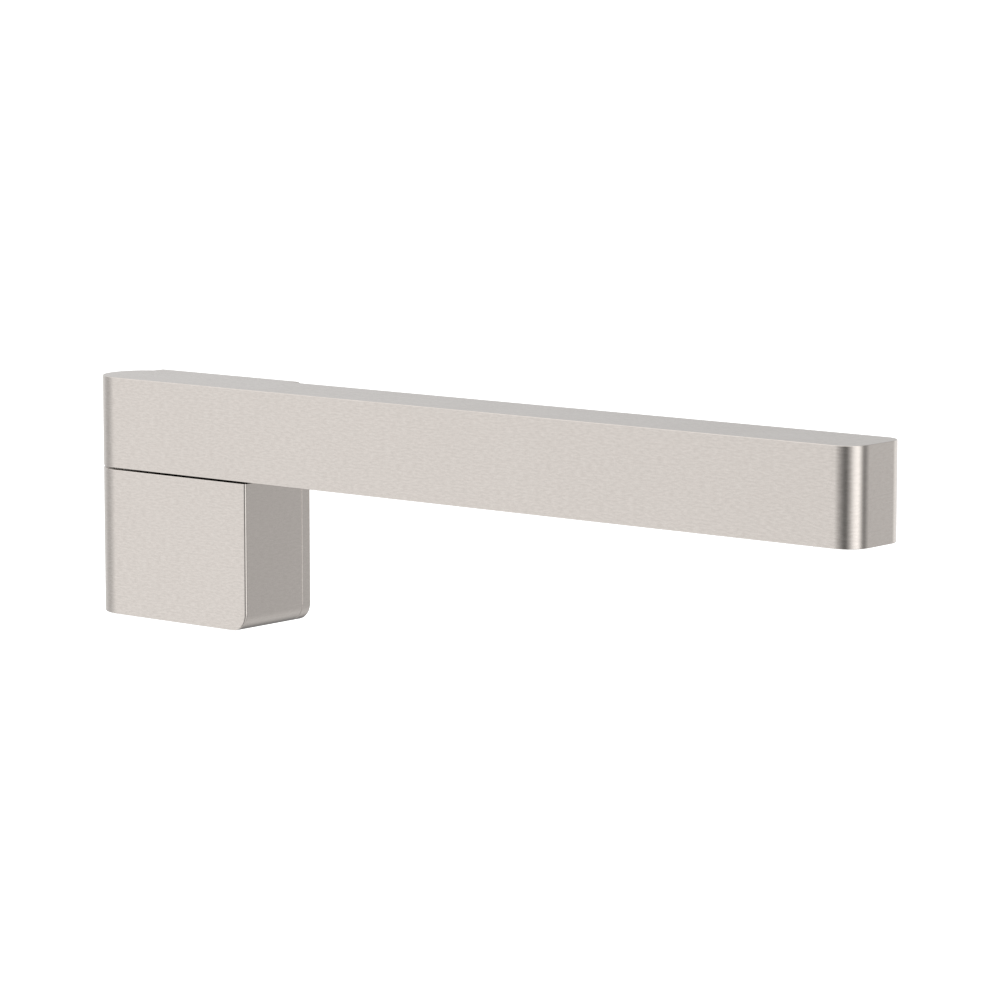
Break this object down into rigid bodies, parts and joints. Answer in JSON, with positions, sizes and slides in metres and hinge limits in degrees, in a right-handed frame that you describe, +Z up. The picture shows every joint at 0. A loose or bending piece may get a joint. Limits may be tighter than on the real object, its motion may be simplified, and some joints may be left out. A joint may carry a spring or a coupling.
{
  "type": "wall mounted swivel bath outlet",
  "caption": "Wall mounted bath outlet: a rectangular wall plate and body carry a long square-section arm that folds flat to the wall and swings out over the tub.",
  "frame": {"origin": "middle of the wall plate's back face, on the wall's surface", "axes": "+Z up, +Y into the wall, +X along the arm when it is folded flat to the wall"},
  "size_m": [0.2575, 0.0259, 0.0656],
  "materials": {
    "brushed_nickel": "warm brushed nickel plate over brass, fine lengthwise grain, satin",
    "plain_brass": "machined, unplated",
    "stainless_steel": "bright machined",
    "black_rubber": "matt",
    "white_acetal": "satin",
    "grey_plastic": "satin"
  },
  "bodies": {
    "wall_body": {"wall_plate": "brushed_nickel", "wall_gasket": "black_rubber", "body_block": "brushed_nickel", "plate_screw_1": "stainless_steel", "plate_screw_2": "stainless_steel", "plate_screw_3": "stainless_steel", "plate_screw_4": "stainless_steel", "inlet_sleeve": "plain_brass", "inlet_oring_1": "black_rubber", "inlet_oring_2": "black_rubber", "inlet_strainer": "stainless_steel", "grub_screw": "stainless_steel", "thrust_washer": "white_acetal", "upper_bush": "white_acetal", "lower_bush": "white_acetal", "stop_pin": "stainless_steel", "bottom_cap": "brushed_nickel", "cap_oring": "black_rubber"},
    "swivel_arm": {"arm_shell": "brushed_nickel", "arm_cover": "brushed_nickel", "cover_screw_1": "stainless_steel", "cover_screw_2": "stainless_steel", "cover_screw_3": "stainless_steel", "pivot_block": "plain_brass", "tube_saddle": "plain_brass", "outlet_block": "plain_brass", "water_tube": "plain_brass", "tube_oring_1": "black_rubber", "tube_oring_2": "black_rubber", "swivel_spindle": "plain_brass", "spindle_oring_1": "black_rubber", "spindle_oring_2": "black_rubber", "retaining_washer": "white_acetal", "stop_plate": "stainless_steel", "spindle_nut": "plain_brass", "aerator_housing": "brushed_nickel", "aerator_insert": "grey_plastic", "aerator_washer": "black_rubber"}
  },
  "joints": [
    {"name": "arm_swivel", "type": "hinge", "parent": "wall_body", "child": "swivel_arm", "pos_m": [-0.01875, -0.0149, 0.00795], "axis": [0, 0, 1], "range_deg": [-180, 0]}
  ]
}
